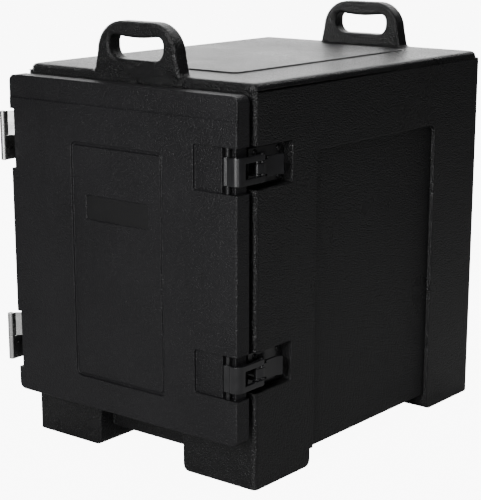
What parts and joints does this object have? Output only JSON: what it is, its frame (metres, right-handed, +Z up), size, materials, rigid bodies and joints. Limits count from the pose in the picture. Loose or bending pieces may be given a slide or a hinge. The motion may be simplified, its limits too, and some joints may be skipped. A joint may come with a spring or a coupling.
{
  "type": "insulated food carrier",
  "caption": "Front-loading black roto-moulded insulated food pan carrier with a hinged door, draw latches and moulded carrying handles.",
  "frame": {"origin": "middle of the base of the whole object's box, on the floor plane under the feet", "axes": "+Z up, the door faces -Y, +X to the right seen from the door side; hinges on -X, latches on +X"},
  "size_m": [0.4488, 0.6296, 0.64],
  "materials": {
    "polyethylene": "fine pebbled roto-moulded polyethylene, near black",
    "foam": "closed-cell polyurethane foam, cream",
    "gasket_rubber": "soft matt black seal",
    "latch_nylon": "glossy black moulded nylon",
    "black_steel": "blackened steel",
    "stainless": "bright stainless steel"
  },
  "bodies": {
    "body": {"body_outer_shell": "polyethylene", "body_insulation": "foam", "body_liner": "polyethylene", "upper_hinge_body_leaf": "stainless", "upper_hinge_pin": "stainless", "upper_hinge_body_screw_1": "stainless", "upper_hinge_body_screw_2": "stainless", "upper_hinge_body_screw_3": "stainless", "upper_latch_base": "latch_nylon", "upper_lever_pin": "black_steel", "upper_latch_base_screw_1": "black_steel", "upper_latch_base_screw_2": "black_steel", "upper_latch_base_screw_3": "black_steel", "upper_latch_base_screw_4": "black_steel", "lower_hinge_body_leaf": "stainless", "lower_hinge_pin": "stainless", "lower_hinge_body_screw_1": "stainless", "lower_hinge_body_screw_2": "stainless", "lower_hinge_body_screw_3": "stainless", "lower_latch_base": "latch_nylon", "lower_lever_pin": "black_steel", "lower_latch_base_screw_1": "black_steel", "lower_latch_base_screw_2": "black_steel", "lower_latch_base_screw_3": "black_steel", "lower_latch_base_screw_4": "black_steel"},
    "door": {"door_outer_shell": "polyethylene", "door_inner_shell": "polyethylene", "door_insulation": "foam", "door_gasket": "gasket_rubber", "upper_hinge_door_leaf": "stainless", "upper_keeper_rod": "black_steel", "upper_hinge_door_screw_1": "stainless", "upper_hinge_door_screw_2": "stainless", "lower_hinge_door_leaf": "stainless", "lower_keeper_rod": "black_steel", "lower_hinge_door_screw_1": "stainless", "lower_hinge_door_screw_2": "stainless"},
    "upper_lever": {"upper_latch_lever": "latch_nylon"},
    "upper_hook": {"upper_latch_hook": "latch_nylon", "upper_hook_pin": "black_steel"},
    "lower_lever": {"lower_latch_lever": "latch_nylon"},
    "lower_hook": {"lower_latch_hook": "latch_nylon", "lower_hook_pin": "black_steel"}
  },
  "joints": [
    {"name": "door_swing", "type": "hinge", "parent": "body", "child": "door", "pos_m": [-0.21962, -0.31007, 0.31], "axis": [0, 0, -1], "range_deg": [0, 270]},
    {"name": "upper_lever_swing", "type": "hinge", "parent": "body", "child": "upper_lever", "pos_m": [0.21887, -0.26158, 0.458], "axis": [0, 0, -1], "range_deg": [0, 100]},
    {"name": "upper_hook_swing", "type": "hinge", "parent": "upper_lever", "child": "upper_hook", "pos_m": [0.22037, -0.25278, 0.458], "axis": [0, 0, 1], "range_deg": [0, 120]},
    {"name": "lower_lever_swing", "type": "hinge", "parent": "body", "child": "lower_lever", "pos_m": [0.21887, -0.26158, 0.173], "axis": [0, 0, -1], "range_deg": [0, 100]},
    {"name": "lower_hook_swing", "type": "hinge", "parent": "lower_lever", "child": "lower_hook", "pos_m": [0.22037, -0.25278, 0.173], "axis": [0, 0, 1], "range_deg": [0, 120]}
  ],
  "couplings": [
    {"joint": "upper_hook_swing", "follows": "upper_lever_swing", "ratio": 1.2},
    {"joint": "lower_hook_swing", "follows": "lower_lever_swing", "ratio": 1.2}
  ]
}
